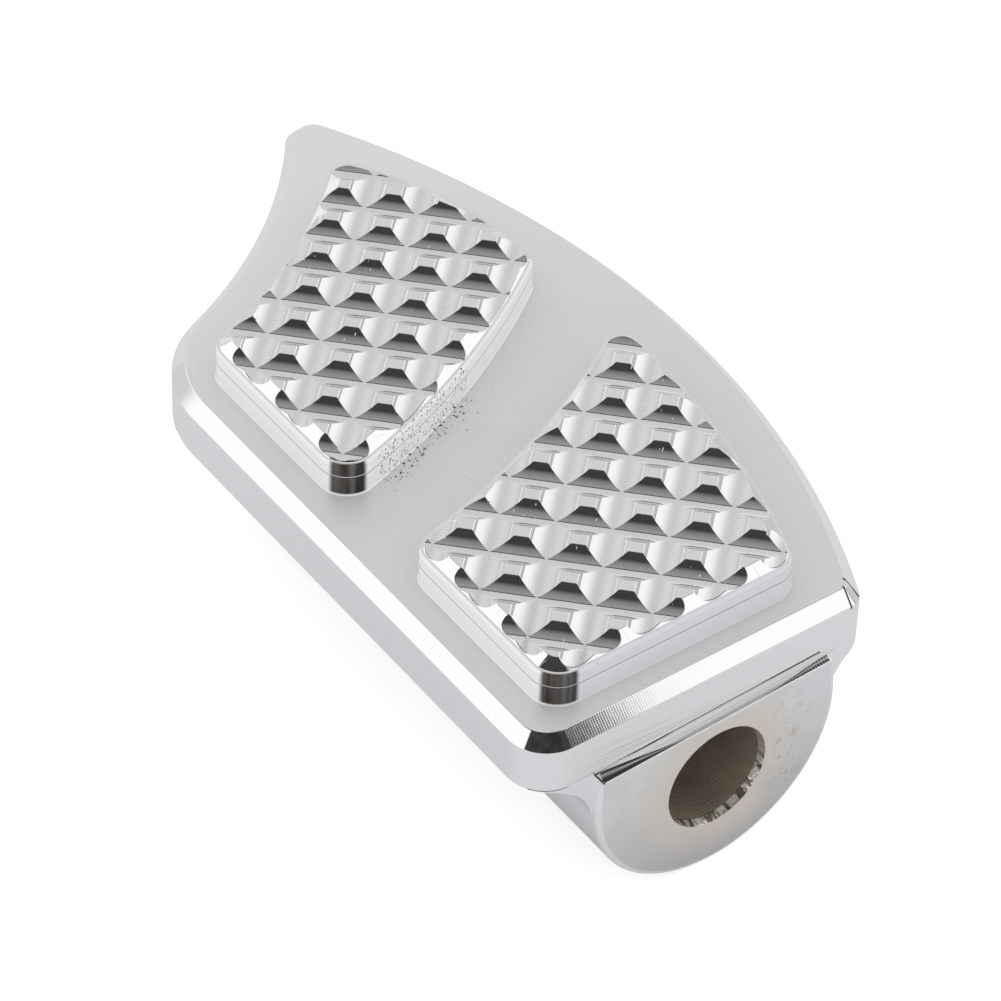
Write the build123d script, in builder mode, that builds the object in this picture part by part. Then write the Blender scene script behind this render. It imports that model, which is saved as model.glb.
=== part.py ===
"""Shifter peg: a one-piece foot peg with two knurled pads over a bored mounting lug.

Millimetres, +Z up. The origin is the centre of the bore at the face that meets the lever.
+X leaves that face and +Y runs from the straight side of the plate to its bowed side.
"""
from build123d import *
import math
import os

# Plate
plate_bottom = 5.7
plate_thickness = 4.6
plate_top = plate_bottom + plate_thickness
plate_edge_chamfer = 1.0
straight_side_y = -15.74
bow_centre = (-32.8, -51.03)
bow_radius = 71.31
hollow_centre = (-93.34, -29.0)
hollow_radius = 45.17

# The bored end leans a little out of square with the straight side
end_setback = 0.7
end_lean = math.radians(1.6)

# Plan corners of the plate
corner_straight_bored = 3.1
corner_straight_hollow = 10.2
corner_bow_bored = 1.6
corner_bow_hollow = 2.2

# Pads
pad_height = 3.37
pad_top = plate_top + pad_height
pad_straight_y = -12.65
pad_end_margin = 2.67
outer_pad_start_centre = (-97.17, -33.73)
outer_pad_start_radius = 55.62
outer_pad_end_centre = (-98.32, -32.38)
outer_pad_end_radius = 72.98
outer_pad_bow_centre = (-41.5, -16.66)
outer_pad_bow_radius = 29.75
inner_pad_start_centre = (-91.24, -29.63)
inner_pad_start_radius = 73.46
inner_pad_bow_centre = (-32.24, -66.88)
inner_pad_bow_radius = 80.87
pad_corner = 2.2
pad_corner_tight = 1.5

# Rim of the pads: a narrow ledge, then a shallow slope up to the crown
rim_depth = 0.52
rim_ledge = 0.28
rim_slope = 0.97
rim_level = pad_top - rim_depth

# Ball-nose cuts that leave the pyramids
groove_pitch = 4.0
groove_radius = 2.38
groove_depth = 0.5
groove_overcut = 0.2
groove_angle = math.radians(45)
groove_node = (-27.47, -2.86)
grooves_each_way = 19
groove_reach = 90.0

# Mounting lug under the plate
lug_radius = 10.55
lug_centre = (-0.1, 2.4)
lug_length = 52.0
lug_face_round = 0.4
web_radius_straight_side = 4.6
web_radius_bow_side = 4.2
shoulder_z = 5.4
shoulder_tilt = 2.1
shoulder_root = 0.6

# Bolt passage
bore_radius = 4.1
bore_lead = 0.2
bore_lead_depth = 0.6

# Stock the sides are cut from, larger than the part all round
stock_left = -80.0
stock_far = 30.0
stock_low = -10.0
stock_over = 1.0
stock_width = 44.0

# The face that meets the lever
face_normal = (math.cos(end_lean), math.sin(end_lean), 0)
face_plane = Plane(origin=(0, 0, 0), z_dir=face_normal)
face_axis = Axis(origin=(0, 0, 0), direction=face_normal)


def end_x(y, inset):
    """X of the leaning end at a distance y across the part, set back by inset."""
    return -inset / math.cos(end_lean) - math.tan(end_lean) * y


def stock(near_y, inset):
    """Plan of stock finished on its straight side and its leaning end only."""
    return [
        (stock_left, near_y),
        (end_x(near_y, inset), near_y),
        (end_x(stock_far, inset), stock_far),
        (stock_left, stock_far),
    ]


def across(edge):
    """True for a straight edge that runs across the part below the plate."""
    run = edge.tangent_at(0)
    return edge.geom_type == GeomType.LINE and abs(run.Y) > abs(run.X) and edge.center().Z < plate_bottom


# Plan of the plate
with BuildSketch() as plate_plan:
    with BuildLine():
        Polyline(stock(straight_side_y, end_setback), close=True)
    make_face()
    with Locations(bow_centre):
        Circle(bow_radius, mode=Mode.INTERSECT)
    with Locations(hollow_centre):
        Circle(hollow_radius, mode=Mode.SUBTRACT)
    fillet(plate_plan.vertices().filter_by(lambda v: v.Y < 0).sort_by(Axis.X)[0], corner_straight_hollow)
    fillet(plate_plan.vertices().sort_by(Axis.X)[-1], corner_straight_bored)
    fillet(plate_plan.vertices().sort_by(Axis.X)[0], corner_bow_hollow)
    fillet(plate_plan.vertices().filter_by(lambda v: v.Y > 0).sort_by(Axis.X)[-1], corner_bow_bored)

# Plan of the pad by the hollow end
with BuildSketch() as outer_pad:
    with BuildLine():
        Polyline(stock(pad_straight_y, end_setback), close=True)
    make_face()
    with Locations(outer_pad_bow_centre):
        Circle(outer_pad_bow_radius, mode=Mode.INTERSECT)
    with Locations(outer_pad_end_centre):
        Circle(outer_pad_end_radius, mode=Mode.INTERSECT)
    with Locations(outer_pad_start_centre):
        Circle(outer_pad_start_radius, mode=Mode.SUBTRACT)
    fillet(outer_pad.vertices().filter_by(lambda v: v.Y < 0), pad_corner)
    fillet(outer_pad.vertices().filter_by(lambda v: v.Y > 0), pad_corner_tight)

# Plan of the pad by the bored end
with BuildSketch() as inner_pad:
    with BuildLine():
        Polyline(stock(pad_straight_y, end_setback + pad_end_margin), close=True)
    make_face()
    with Locations(inner_pad_bow_centre):
        Circle(inner_pad_bow_radius, mode=Mode.INTERSECT)
    with Locations(inner_pad_start_centre):
        Circle(inner_pad_start_radius, mode=Mode.SUBTRACT)
    fillet(inner_pad.vertices().filter_by(lambda v: v.Y < 0), pad_corner)
    fillet(inner_pad.vertices().filter_by(lambda v: v.Y > 0).sort_by(Axis.X)[-1], pad_corner)
    fillet(inner_pad.vertices().sort_by(Axis.X)[0], pad_corner_tight)

with BuildPart() as peg_body:
    # Lug, with the web that carries it into the underside of the plate
    with BuildSketch(Plane.YZ) as lug_section:
        with Locations(lug_centre):
            Circle(lug_radius)
        with Locations((0, plate_bottom)):
            Rectangle(stock_width, plate_thickness, align=(Align.CENTER, Align.MIN))
        with Locations((0, plate_top)):
            Rectangle(stock_width, lug_radius, align=(Align.CENTER, Align.MIN), mode=Mode.SUBTRACT)
        fillet(lug_section.vertices().group_by(Axis.Y)[0].sort_by(Axis.X)[1], web_radius_straight_side)
        fillet(lug_section.vertices().group_by(Axis.Y)[-2].sort_by(Axis.X)[-2], web_radius_bow_side)
    extrude(amount=-lug_length)

    # The sides of the plate trim that web
    with BuildSketch(Plane.XY.offset(stock_low)):
        add(plate_plan.sketch)
    extrude(amount=plate_top - stock_low, mode=Mode.INTERSECT)

    # The lug alone stands proud of the plate, under a sloping shoulder with a hollow root
    with BuildSketch(Plane.YZ.offset(stock_over)):
        with Locations(lug_centre):
            Circle(lug_radius)
        with Locations(Location((0, shoulder_z), shoulder_tilt)):
            Rectangle(stock_width, stock_width, align=(Align.CENTER, Align.MIN), mode=Mode.SUBTRACT)
    extrude(amount=-3 * stock_over)
    split(bisect_by=face_plane, keep=Keep.BOTTOM)
    fillet(peg_body.edges().filter_by(across).sort_by(face_axis)[0], shoulder_root)

    # Plate with its bevelled top edge
    with BuildSketch(Plane.XY.offset(plate_bottom)):
        add(plate_plan.sketch)
    extrude(amount=plate_thickness)
    chamfer(peg_body.faces().sort_by(Axis.Z)[-1].edges(), plate_edge_chamfer)

    # Pads, each a crown with sloping sides standing inside a straight-walled base
    for pad_plan in (outer_pad, inner_pad):
        with BuildSketch(Plane.XY.offset(plate_top)):
            offset(pad_plan.sketch, amount=-rim_ledge)
        extrude(amount=pad_height)
        crown = peg_body.faces(Select.LAST).sort_by(Axis.Z)[-1]
        chamfer(crown.edges(), length=rim_slope, length2=rim_depth, reference=crown)
        with BuildSketch(Plane.XY.offset(plate_top)):
            add(pad_plan.sketch)
        extrude(amount=rim_level - plate_top)

    # Knurl: two families of round-bottomed cuts, square to each other
    for turn in (-groove_angle, groove_angle):
        cut_plane = Plane(
            origin=(*groove_node, pad_top),
            x_dir=(math.cos(turn), math.sin(turn), 0),
            z_dir=(math.sin(turn), -math.cos(turn), 0),
        )
        with BuildSketch(cut_plane):
            with Locations((0, groove_radius - groove_depth)):
                with GridLocations(groove_pitch, 0, grooves_each_way, 1):
                    Circle(groove_radius)
            with Locations((0, groove_overcut)):
                Rectangle(groove_reach, groove_reach, align=(Align.CENTER, Align.MIN), mode=Mode.SUBTRACT)
        extrude(amount=groove_reach, both=True, mode=Mode.SUBTRACT)

    # Bolt passage with a short lead-in at the face
    with Locations(Plane.YZ.offset(stock_over)):
        Hole(bore_radius, depth=lug_length + 2 * stock_over)
    lug_face = peg_body.faces().filter_by(GeomType.PLANE).sort_by(face_axis)[-1]
    chamfer(lug_face.inner_wires()[0].edges(), length=bore_lead, length2=bore_lead_depth, reference=lug_face)

    # Softened outer edge of the lug face
    lug_face = peg_body.faces().filter_by(GeomType.PLANE).sort_by(face_axis)[-1]
    fillet(lug_face.outer_wire().edges().sort_by(SortBy.LENGTH)[-1], lug_face_round)

peg_body.part.label = "peg_body"
os.makedirs("parts", exist_ok=True)
export_step(peg_body.part, "parts/peg_body.step")
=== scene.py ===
# %% [markdown]
# # A chromed shifter peg
#
# The peg is one block of steel, milled and then chromed. A gently bowed plate carries
# two knurled pads, and a round lug under it takes the bolt. Chrome has hardly any
# colour of its own, so its look is made of three things: true shapes, fine tool marks,
# and a studio that is worth reflecting. This lesson takes them in that order.
#
# Every length below is in millimetres, as on a workshop drawing, and is turned into
# metres only when a mesh is made.

# %% Load the frame
import math

import bpy
import numpy as np
from mathutils import Matrix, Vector
from mathutils.geometry import delaunay_2d_cdt


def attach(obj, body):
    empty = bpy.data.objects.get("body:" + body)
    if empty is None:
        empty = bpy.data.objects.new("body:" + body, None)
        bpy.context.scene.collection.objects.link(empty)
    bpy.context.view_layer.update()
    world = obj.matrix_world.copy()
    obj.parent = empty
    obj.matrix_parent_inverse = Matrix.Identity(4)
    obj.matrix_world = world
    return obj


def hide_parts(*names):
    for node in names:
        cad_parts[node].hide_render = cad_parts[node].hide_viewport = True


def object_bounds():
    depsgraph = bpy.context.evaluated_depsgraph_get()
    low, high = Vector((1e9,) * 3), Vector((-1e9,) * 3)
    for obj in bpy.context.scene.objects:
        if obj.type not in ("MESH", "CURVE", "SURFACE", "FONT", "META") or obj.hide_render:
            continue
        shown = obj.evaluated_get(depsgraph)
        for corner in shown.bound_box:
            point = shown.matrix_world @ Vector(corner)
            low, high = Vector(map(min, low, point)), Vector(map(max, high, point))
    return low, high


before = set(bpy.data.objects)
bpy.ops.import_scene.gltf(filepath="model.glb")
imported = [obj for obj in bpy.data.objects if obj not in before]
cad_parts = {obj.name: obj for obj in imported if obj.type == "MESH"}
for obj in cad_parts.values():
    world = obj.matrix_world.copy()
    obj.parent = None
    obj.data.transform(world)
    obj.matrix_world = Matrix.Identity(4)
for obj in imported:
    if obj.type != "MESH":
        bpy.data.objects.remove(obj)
cad_box = [list(corner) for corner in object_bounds()]
scene = bpy.context.scene
MM = 0.001
print("CAD box", cad_box)

# %% [markdown]
# ## Camera
#
# The picture was taken with a long lens from above the bored end. The place and the
# three directions of the camera are written out, because a long lens shows an error of
# half a degree. A square picture needs only the focal length: the sensor is 36 mm wide.

# %% Camera
CAMERA_PLACE = (0.18290, -0.15391, 0.23571)
CAMERA_RIGHT = (0.57307197, 0.819091, 0.02604726)
CAMERA_DOWN = (0.55385589, -0.36368401, -0.74898438)
CAMERA_AHEAD = (-0.60401339, 0.44364838, -0.66207548)
SENSOR = 36.0
PICTURE = 1001.0
FOCAL_IN_PIXELS = 4800.0


def linked(data):
    """An object of the same name as its data, in the scene."""
    thing = bpy.data.objects.new(data.name, data)
    scene.collection.objects.link(thing)
    return thing


def make_camera():
    """A camera whose turn is written as columns: right, up and backwards."""
    data = bpy.data.cameras.new("camera")
    data.sensor_width = SENSOR
    data.lens = SENSOR * FOCAL_IN_PIXELS / PICTURE
    data.clip_start = 0.01
    data.clip_end = 20.0
    camera = linked(data)
    columns = [CAMERA_RIGHT, np.negative(CAMERA_DOWN), np.negative(CAMERA_AHEAD)]
    place = np.eye(4)
    place[:3, :3] = np.array(columns).T
    place[:3, 3] = CAMERA_PLACE
    camera.matrix_world = Matrix(place.tolist())
    return camera


scene.camera = make_camera()
print("lens", round(scene.camera.data.lens, 2), "mm")

# %% [markdown]
# ## Outlines
#
# The plate and the pads are drawn as a drawing office does it: straight runs and arcs
# that meet without a kink. A Bezier curve could follow them, but it only comes near a true
# arc. An outline here is a list of stops, and each stop gives the radius of the run that
# leaves it. Nought is straight, and a minus sign is a hollow arc.

# %% Stops of the three outlines
PLATE_STOPS = [
    (-43.1856, -15.74, 0),
    (-3.4484, -15.74, 3.1),
    (-0.3496, -12.5534, 0),
    (-1.0315, 11.8582, 1.6),
    (-1.9384, 13.2559, 71.31),
    (-66.9741, 11.5579, 2.2),
    (-67.1932, 7.8331, -45.17),
    (-52.4248, -9.8617, 10.2),
]
OUTER_PAD_STOPS = [
    (-44.2437, -12.65, 0),
    (-31.023, -12.65, 2.2),
    (-28.9313, -9.76837, 72.98),
    (-40.7781, 12.5089, 1.5),
    (-41.9853, 13.086, 29.75),
    (-57.8738, 8.17871, 1.5),
    (-58.1018, 5.85868, -55.62),
    (-46.2575, -11.3358, 2.2),
]
INNER_PAD_STOPS = [
    (-18.0515, -12.65, 0),
    (-5.28028, -12.65, 2.2),
    (-3.08114, -10.3886, 0),
    (-3.57427, 7.26576, 2.2),
    (-5.03327, 9.27609, 80.87),
    (-29.1354, 13.9304, 1.5),
    (-30.4346, 11.5898, -73.46),
    (-20.1796, -11.0077, 2.2),
]
print("stops", len(PLATE_STOPS), len(OUTER_PAD_STOPS), len(INNER_PAD_STOPS))

# %% Runs between stops
LONG_ARC = 15


def straight_run(start, end, count):
    """Points at equal shares of the chord; outward is the chord turned a quarter right."""
    chord = end - start
    share = np.arange(count)[:, None] / count
    outward = np.array([chord[1], -chord[0]]) / np.hypot(*chord)
    return start + share * chord, np.tile(outward, (count, 1))


def arc_run(start, end, radius, count):
    """The centre lies off the middle of the chord by the root of radius² less half chord²."""
    chord = end - start
    length = np.hypot(*chord)
    left = np.array([-chord[1], chord[0]]) / length
    rise = math.sqrt(radius * radius - length * length / 4) * np.sign(radius)
    centre = (start + end) / 2 + left * rise
    first = math.atan2(*(start - centre)[::-1])
    last = math.atan2(*(end - centre)[::-1])
    sweep = (last - first + math.pi) % (2 * math.pi) - math.pi
    angle = first + sweep * np.arange(count) / count
    spoke = np.stack([np.cos(angle), np.sin(angle)], axis=1)
    return centre + abs(radius) * spoke, spoke * np.sign(radius)


def outline(stops, spacing, tight=0.35):
    """Points, outward directions and run length round a closed line of stops.

    Points lie spacing apart, and on arcs under LONG_ARC closer by the factor tight.
    """
    points, outwards = [], []
    for here, after in zip(stops, stops[1:] + stops[:1]):
        start, end, radius = np.array(here[:2]), np.array(after[:2]), here[2]
        step = spacing if radius == 0 or abs(radius) > LONG_ARC else spacing * tight
        count = max(2, int(np.hypot(*(end - start)) / step))
        run = straight_run(start, end, count) if radius == 0 else arc_run(start, end, radius, count)
        points.append(run[0])
        outwards.append(run[1])
    points, outwards = np.concatenate(points), np.concatenate(outwards)
    steps = np.hypot(*np.diff(points, axis=0, append=points[:1]).T)
    return points, outwards, np.concatenate([[0.0], np.cumsum(steps)[:-1]])


print("plate outline", len(outline(PLATE_STOPS, 0.5)[0]), "points")

# %% [markdown]
# ## Profiles
#
# No milled and plated corner is a knife edge. The plating builds up a round of a few
# hundredths of a millimetre, and that round is what draws the thin bright line along
# each edge. A Bevel modifier could round the edges, but its normals bend the flats too. A
# profile here is a bent line whose corners each have a small radius, and it carries its
# own exact normals, so that a flat stays flat right up to the round.

# %% Profiles with rounded corners
def swung(facing, angle):
    """A direction turned by each angle: (fx·cos − fy·sin, fx·sin + fy·cos)."""
    turned_x = facing[0] * np.cos(angle) - facing[1] * np.sin(angle)
    turned_y = facing[0] * np.sin(angle) + facing[1] * np.cos(angle)
    return np.stack([turned_x, turned_y], axis=1)


def rounded_profile(corners, steps=4):
    """Each corner (out, height, radius) becomes an arc that touches both its sides.

    The touching points lie radius times tan(half the turn) from the corner. A radius of
    nought gives two points in one place, one for each side's normal.
    """
    xy = np.array([c[:2] for c in corners], float)
    runs = np.diff(xy, axis=0)
    runs /= np.hypot(*runs.T)[:, None]
    side = np.stack([runs[:, 1], -runs[:, 0]], axis=1)
    points, normals = [xy[0]], [side[0]]
    for k in range(1, len(xy) - 1):
        before, after = runs[k - 1], runs[k]
        turn = math.atan2(before[0] * after[1] - before[1] * after[0], before @ after)
        radius = corners[k][2]
        arc = swung(side[k - 1], turn * np.linspace(0, 1, steps + 1 if radius else 2))
        start = xy[k] - before * radius * abs(math.tan(turn / 2))
        centre = start - side[k - 1] * radius * np.sign(turn)
        points.extend(centre + arc * radius * np.sign(turn) if radius else [xy[k]] * 2)
        normals.extend(arc)
    points.append(xy[-1])
    normals.append(side[-1])
    return np.array(points), np.array(normals)


sample, _ = rounded_profile([(1, 0, 0), (1, 1, 0.1), (0, 1, 0)])
print("one round corner takes", len(sample) - 2, "points")

# %% Sweeps
def spread(*parts):
    """Arrays of shapes that fit each other, side by side as the last axis of one array."""
    return np.stack(np.broadcast_arrays(*parts), axis=-1).copy()


def swept(points, outwards, run, profile, profile_normals):
    """A profile carried round an outline: place = outline + outward × out, height as given."""
    shape = (len(points), len(profile))
    place = np.empty(shape + (3,))
    place[..., :2] = points[:, None] + outwards[:, None] * profile[None, :, :1]
    place[..., 2] = profile[:, 1]
    normal = np.empty(shape + (3,))
    normal[..., :2] = outwards[:, None] * profile_normals[None, :, :1]
    normal[..., 2] = profile_normals[:, 1]
    along = np.hypot(*np.diff(profile, axis=0, prepend=profile[:1]).T).cumsum()
    return place, normal, spread(run[:, None], along)


# %% [markdown]
# ## Kinds of surface
#
# One plating covers the whole peg, but the deck, the bevel, the cuts and the bore were
# each left by another tool. A material for each would show a seam where two meet. So each
# kind gets a number, every face corner carries it, and one chrome reads it.

# %% Kinds of surface
PLATE_KIND, BEVEL_KIND, WALL_KIND, RIM_KIND, GROOVE_KIND, FLAT_KIND = range(6)
LUG_KIND, FACE_KIND, BORE_KIND, MOUTH_KIND, DECK_KIND, ROOT_KIND = range(6, 12)
print("kinds", ROOT_KIND + 1)

# %% [markdown]
# ## Skins
#
# A skin collects grids of points with a normal for each face corner. Grids that share an
# edge share the very same points, so welding points that lie within a tenth of a
# micrometre closes the shape, while the corners keep their own normals. Blender's Shade
# Auto Smooth guesses such normals, and on chrome a guess shows.

# %% Flat fills and grids
NEAR = 1e-7


def filled(points, edges, loop):
    """Triangles inside a loop of points through every point, the given points kept exactly."""
    flat, _, faces, sources, _, _ = delaunay_2d_cdt(points.tolist(), edges, [loop], 1, NEAR)
    spots = np.array(flat)
    known = np.array([source[0] if source else -1 for source in sources])
    spots[known >= 0] = points[known[known >= 0]]
    return spots, np.array(faces)


def grid_cells(rows, columns, closed):
    """Two triangles a cell: (a, b, b+1) and (a, b+1, a+1), where b is a one row on."""
    last = rows if closed else rows - 1
    i, j = np.meshgrid(np.arange(last), np.arange(columns - 1), indexing="ij")
    a = i * columns + j
    b = (i + 1) % rows * columns + j
    halves = [np.stack(three, axis=-1).reshape(-1, 3) for three in ((a, b, b + 1), (a, b + 1, a + 1))]
    return np.concatenate(halves)


# %% Skins of grids
class Skin:
    """Faces with corner normals and corner marks, to be joined into one closed mesh."""

    def __init__(self, name):
        self.name, self.parts, self.count = name, [], 0

    def add(self, points, faces, normals, marks, kind):
        """Adds triangles; normals and marks have one row for each corner of each face."""
        normals = np.broadcast_to(normals, faces.shape + (3,))
        kinds = np.broadcast_to(np.asarray(kind, float), faces.shape)
        self.parts.append((points, faces + self.count, normals, marks, kinds))
        self.count += len(points)

    def grid(self, points, normals, marks, kind, closed=False):
        """A grid (rows, columns, 3); closed joins the last row to the first and carries its marks on."""
        cells = grid_cells(*points.shape[:2], closed)
        corner_marks = marks.reshape(-1, 2)[cells]
        if closed:
            wrap = marks[:, :, 0].max()
            far = corner_marks[:, :, 0].max(1, keepdims=True) - corner_marks[:, :, 0] > wrap / 2
            corner_marks[:, :, 0] = corner_marks[:, :, 0] + far * wrap
        kinds = np.broadcast_to(np.asarray(kind, float), points.shape[:2]).reshape(-1)[cells]
        self.add(points.reshape(-1, 3), cells, normals.reshape(-1, 3)[cells], corner_marks, kinds)

    def cap(self, rim, direction, kind):
        """A flat face inside a closed rim of points, cut into triangles."""
        _, faces = filled(rim[:, :2], [], list(range(len(rim))))
        if direction[2] < 0:
            faces = faces[:, ::-1]
        self.add(rim, faces, np.array(direction, float), rim[:, :2][faces], kind)


# %% Creases
CREASE = math.radians(2.0)


def crease(mesh, normals):
    """Marks as sharp each edge whose two faces disagree by over two degrees at either end.

    The corners of an edge's first and second face are found by sorting corners by edge, and
    the cosine of their angle is the product of their unit normals.
    """
    count = len(mesh.loops)
    normals = normals / np.linalg.norm(normals, axis=1)[:, None]
    edge, vertex = np.empty(count, int), np.empty(count, int)
    mesh.loops.foreach_get("edge_index", edge)
    mesh.loops.foreach_get("vertex_index", vertex)
    here = np.arange(count)
    after = here.reshape(-1, 3)[:, [1, 2, 0]].reshape(-1)
    swap = vertex > vertex[after]
    ends = np.where(swap, after, here), np.where(swap, here, after)
    order = np.argsort(edge, kind="stable")
    sides = np.bincount(edge, minlength=len(mesh.edges))
    start = np.concatenate([[0], np.cumsum(sides)[:-1]])
    pair = np.nonzero(sides == 2)[0]
    one, two = order[start[pair]], order[start[pair] + 1]
    agree = [(normals[end[one]] * normals[end[two]]).sum(1) for end in ends]
    sharp = np.zeros(len(mesh.edges), bool)
    sharp[pair] = np.minimum(*agree) < math.cos(CREASE)
    mesh.attributes.new("sharp_edge", "BOOLEAN", "EDGE").data.foreach_set("value", sharp)
    print(mesh.name, "open edges", int((sides != 2).sum()), "creases", int(sharp.sum()))


# %% Welded pieces
WELDS_TO_A_MILLIMETRE = 1e4


def make_piece(skin, materials, choose=None):
    """Welds the points, drops what has no area, and writes the mesh and its object."""
    points, faces, *corners = map(np.concatenate, zip(*skin.parts))
    keys = np.round(points * WELDS_TO_A_MILLIMETRE).astype(np.int64)
    _, first, index = np.unique(keys, axis=0, return_index=True, return_inverse=True)
    points, faces = points[first], index.reshape(-1)[faces]
    keep = (faces != np.roll(faces, -1, axis=1)).all(1)
    faces, normals, marks, kinds = (part[keep] for part in (faces, *corners))
    mesh = bpy.data.meshes.new(skin.name)
    mesh.from_pydata((points * MM).tolist(), [], faces.tolist())
    mesh.uv_layers.new(name="marks").data.foreach_set("uv", marks.reshape(-1).astype(np.float32))
    layer = mesh.attributes.new("kind", "FLOAT", "CORNER")
    layer.data.foreach_set("value", kinds.reshape(-1).astype(np.float32))
    mesh.shade_smooth()
    crease(mesh, normals.reshape(-1, 3))
    mesh.normals_split_custom_set(normals.reshape(-1, 3).tolist())
    for material in materials:
        mesh.materials.append(material)
    if choose is not None:
        mesh.polygons.foreach_set("material_index", choose(kinds[:, 0]).astype(np.int32))
    mesh.update()
    piece = linked(mesh)
    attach(piece, "root")
    print(skin.name, len(points), "points", len(faces), "triangles")
    return piece


# %% [markdown]
# ## Plate
#
# The plate is a slab 4.6 mm thick with a 1 mm bevel all round its top. It could be a
# cube with a bevel, but its outline bows on one side and is hollow at one end, so one
# profile is carried round the outline instead: under edge, side, bevel, top.

# %% Plate
PLATE_BOTTOM = 5.7
PLATE_TOP = 10.3
PLATE_BEVEL = 1.0
PLATE_MARGIN = 1.3


def plate_skin():
    """Carries the plate's profile round its outline and closes it above and below."""
    points, outwards, run = outline(PLATE_STOPS, 0.6)
    corners = [
        (-PLATE_MARGIN, PLATE_BOTTOM, 0),
        (0.0, PLATE_BOTTOM, 0.12),
        (0.0, PLATE_TOP - PLATE_BEVEL, 0.07),
        (-PLATE_BEVEL, PLATE_TOP, 0.1),
        (-PLATE_MARGIN, PLATE_TOP, 0),
    ]
    profile, normals = rounded_profile(corners)
    place, normal, marks = swept(points, outwards, run, profile, normals)
    slope = np.abs(normals[:, 1])
    kind = np.where((slope > 0.5) & (slope < 0.9), BEVEL_KIND, PLATE_KIND)
    kind = np.where(profile[:, 1] > PLATE_TOP - 0.001, DECK_KIND, kind)
    skin = Skin("plate")
    skin.grid(place, normal, marks, kind[None, :], closed=True)
    skin.cap(place[:, -1], (0, 0, 1), DECK_KIND)
    skin.cap(place[:, 0], (0, 0, -1), PLATE_KIND)
    return skin


plate_parts = plate_skin()
print("plate", plate_parts.count, "points before welding")

# %% [markdown]
# ## Knurl
#
# A ball-nosed cutter ran across each pad at 45 degrees, 4 mm apart, and then again square
# to that. Between the cuts stand low pyramids with small flat tops and hollow sides. The
# height at any point is the lowest of three: the top of the pad, which slopes down at the
# rim, and the two families of round-bottomed cuts. A Boolean could cut it too, but worked
# out as one function it gives exact normals, and chrome shows every wrong normal.

# %% Sizes of the pads and their cuts
PAD_TOP = 13.67
RIM_LEVEL = 13.15
RIM_LEDGE = 0.28
RIM_SLOPE = 0.97
RIM_WIDTH = RIM_LEDGE + RIM_SLOPE
CUT_PITCH = 4.0
CUT_RADIUS = 2.38
CUT_DEPTH = 0.5
CUT_NODE = np.array([-27.47, -2.86])
CUT_HALF_WIDTH = math.sqrt(CUT_RADIUS**2 - (CUT_RADIUS - CUT_DEPTH) ** 2)
HALF = math.sqrt(0.5)
ACROSS = np.array([[HALF, -HALF], [HALF, HALF]])
CREST_ROUND = 0.03
print("cuts are", round(2 * CUT_HALF_WIDTH, 3), "mm wide")
print("flats are", round(CUT_PITCH - 2 * CUT_HALF_WIDTH, 3), "mm wide")

# %% Height of a pad
def folded(across):
    """Distance from the middle of the nearest cut, from minus to plus half a pitch."""
    return (across + CUT_PITCH / 2) % CUT_PITCH - CUT_PITCH / 2


def cut_height(across):
    """Height = bottom of the cut + radius − root(radius² − distance²), and its grade."""
    from_middle = folded(across)
    held = np.clip(np.abs(from_middle), 0, CUT_RADIUS * 0.98)
    root = np.sqrt(CUT_RADIUS**2 - held**2)
    height = PAD_TOP - CUT_DEPTH + CUT_RADIUS - root
    return height, np.sign(from_middle) * held / root


def pad_surface(xy, inset, inward):
    """Height, normal, mark and kind of the pad at points xy.

    inset is the distance in from the pad's outline and inward the direction in which it
    grows. The rim and the cuts are blended over a few hundredths of a millimetre.
    """
    rim_slope = (PAD_TOP - RIM_LEVEL) / RIM_SLOPE
    on_slope = (inset > RIM_LEDGE) & (inset < RIM_WIDTH)
    rim = RIM_LEVEL + np.clip(inset - RIM_LEDGE, 0, RIM_SLOPE) * rim_slope
    rim_grade = inward * (on_slope * rim_slope)[:, None]
    u, v = ((xy - CUT_NODE) @ ACROSS.T).T
    first, first_grade = cut_height(u)
    second, second_grade = cut_height(v)
    is_first = first < second
    cut = np.where(is_first, first, second)
    grades = first_grade[:, None] * ACROSS[0], second_grade[:, None] * ACROSS[1]
    cut_grade = np.where(is_first[:, None], *grades)
    share = np.clip(0.5 + 0.5 * (cut - rim) / CREST_ROUND, 0, 1)
    height = cut + (rim - cut) * share - CREST_ROUND * share * (1 - share)
    grade = cut_grade + (rim_grade - cut_grade) * share[:, None]
    normal = np.concatenate([-grade, np.ones((len(xy), 1))], axis=1)
    normal /= np.linalg.norm(normal, axis=1)[:, None]
    marks = np.stack([np.where(is_first, v, u), np.where(is_first, u, v)], axis=1)
    kind = np.where(share > 0.5, np.where(on_slope, RIM_KIND, FLAT_KIND), GROOVE_KIND)
    return height, normal, marks, kind


print("the cuts cross", round(float(cut_height(np.zeros(1))[0][0]), 3), "mm up")

# %% [markdown]
# ## Lattice
#
# The top of a pad needs points exactly on each crest and each hip, or the triangles would
# saw across them. An even grid along x and y can't give that. The lattice here lies square
# to the cuts, with close steps at every crest, and the hips are handed to the fill as edges
# that it must keep.

# %% Lattice under the knurl
CREST_STEP = 0.05


def lattice_lines(low, high):
    """Places across the cuts: close steps at each crest and even steps between."""
    inner = np.linspace(0, CUT_HALF_WIDTH - CREST_STEP, 8)
    outer = np.linspace(CUT_HALF_WIDTH + CREST_STEP, CUT_PITCH / 2, 3)
    half = np.concatenate([inner, [CUT_HALF_WIDTH], outer])
    one = np.concatenate([-half[:0:-1], half])[:-1]
    first, last = math.floor(low / CUT_PITCH) - 1, math.ceil(high / CUT_PITCH) + 1
    return (np.arange(first, last + 1)[:, None] * CUT_PITCH + one[None, :]).reshape(-1)


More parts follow.
